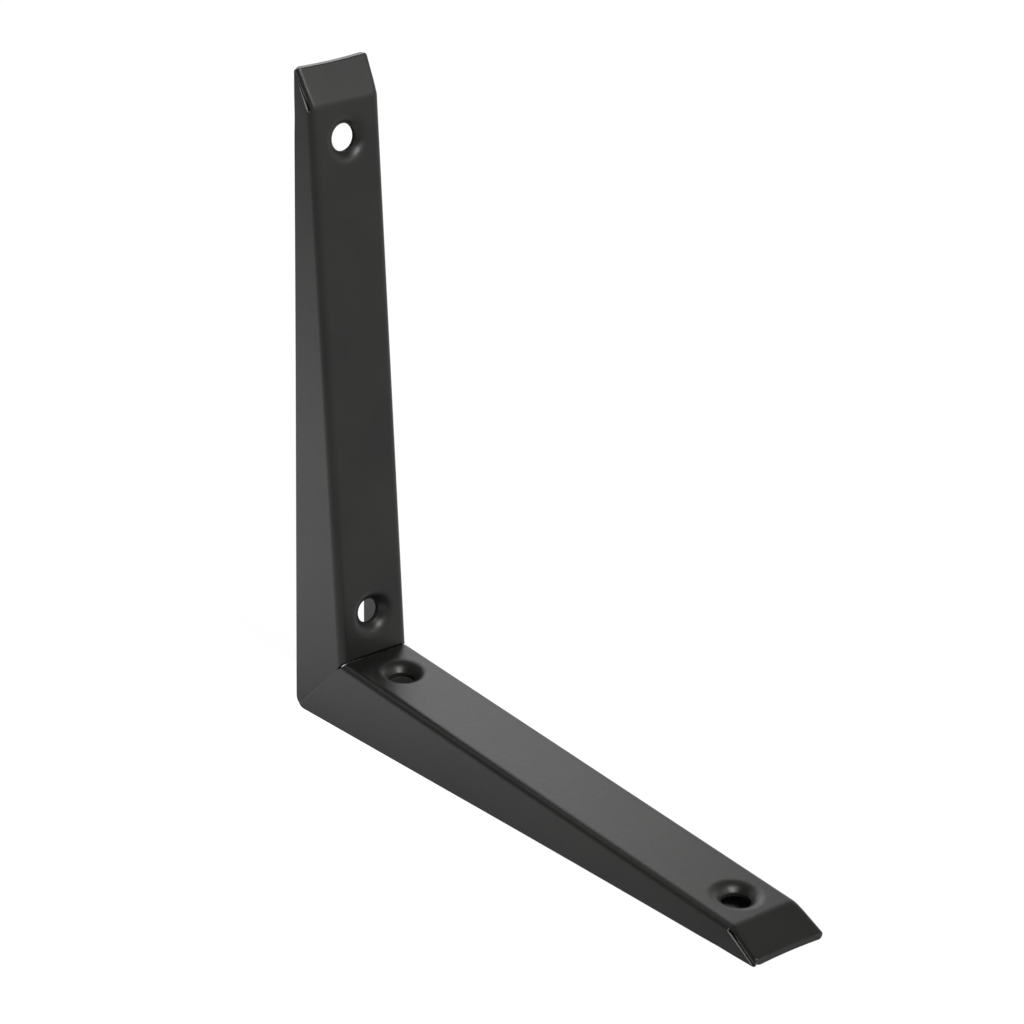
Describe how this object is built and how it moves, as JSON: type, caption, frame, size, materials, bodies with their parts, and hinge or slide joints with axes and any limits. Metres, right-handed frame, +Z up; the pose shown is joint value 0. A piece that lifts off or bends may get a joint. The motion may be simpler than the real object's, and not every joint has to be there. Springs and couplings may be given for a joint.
{
  "type": "corner brace bracket",
  "caption": "Black coated sheet-steel corner bracket: two tapered channel arms at a right angle, mitred at the corner, with dimpled screw holes and a turned-down tab over each tip.",
  "frame": {"origin": "on the shelf plane under the middle of the shelf arm, at mid width, which is the bottom centre of the part's box; the outer corner is 100.15 mm away along -X", "axes": "+X along the shelf arm away from the wall, +Z up the wall arm, Y across the width; the wall plane is x = -100.15 mm and the shelf plane is z = 0"},
  "size_m": [0.1998, 0.0274, 0.1998],
  "materials": {
    "coated_steel": "satin"
  },
  "bodies": {
    "root": {"bracket": "coated_steel"}
  },
  "joints": []
}
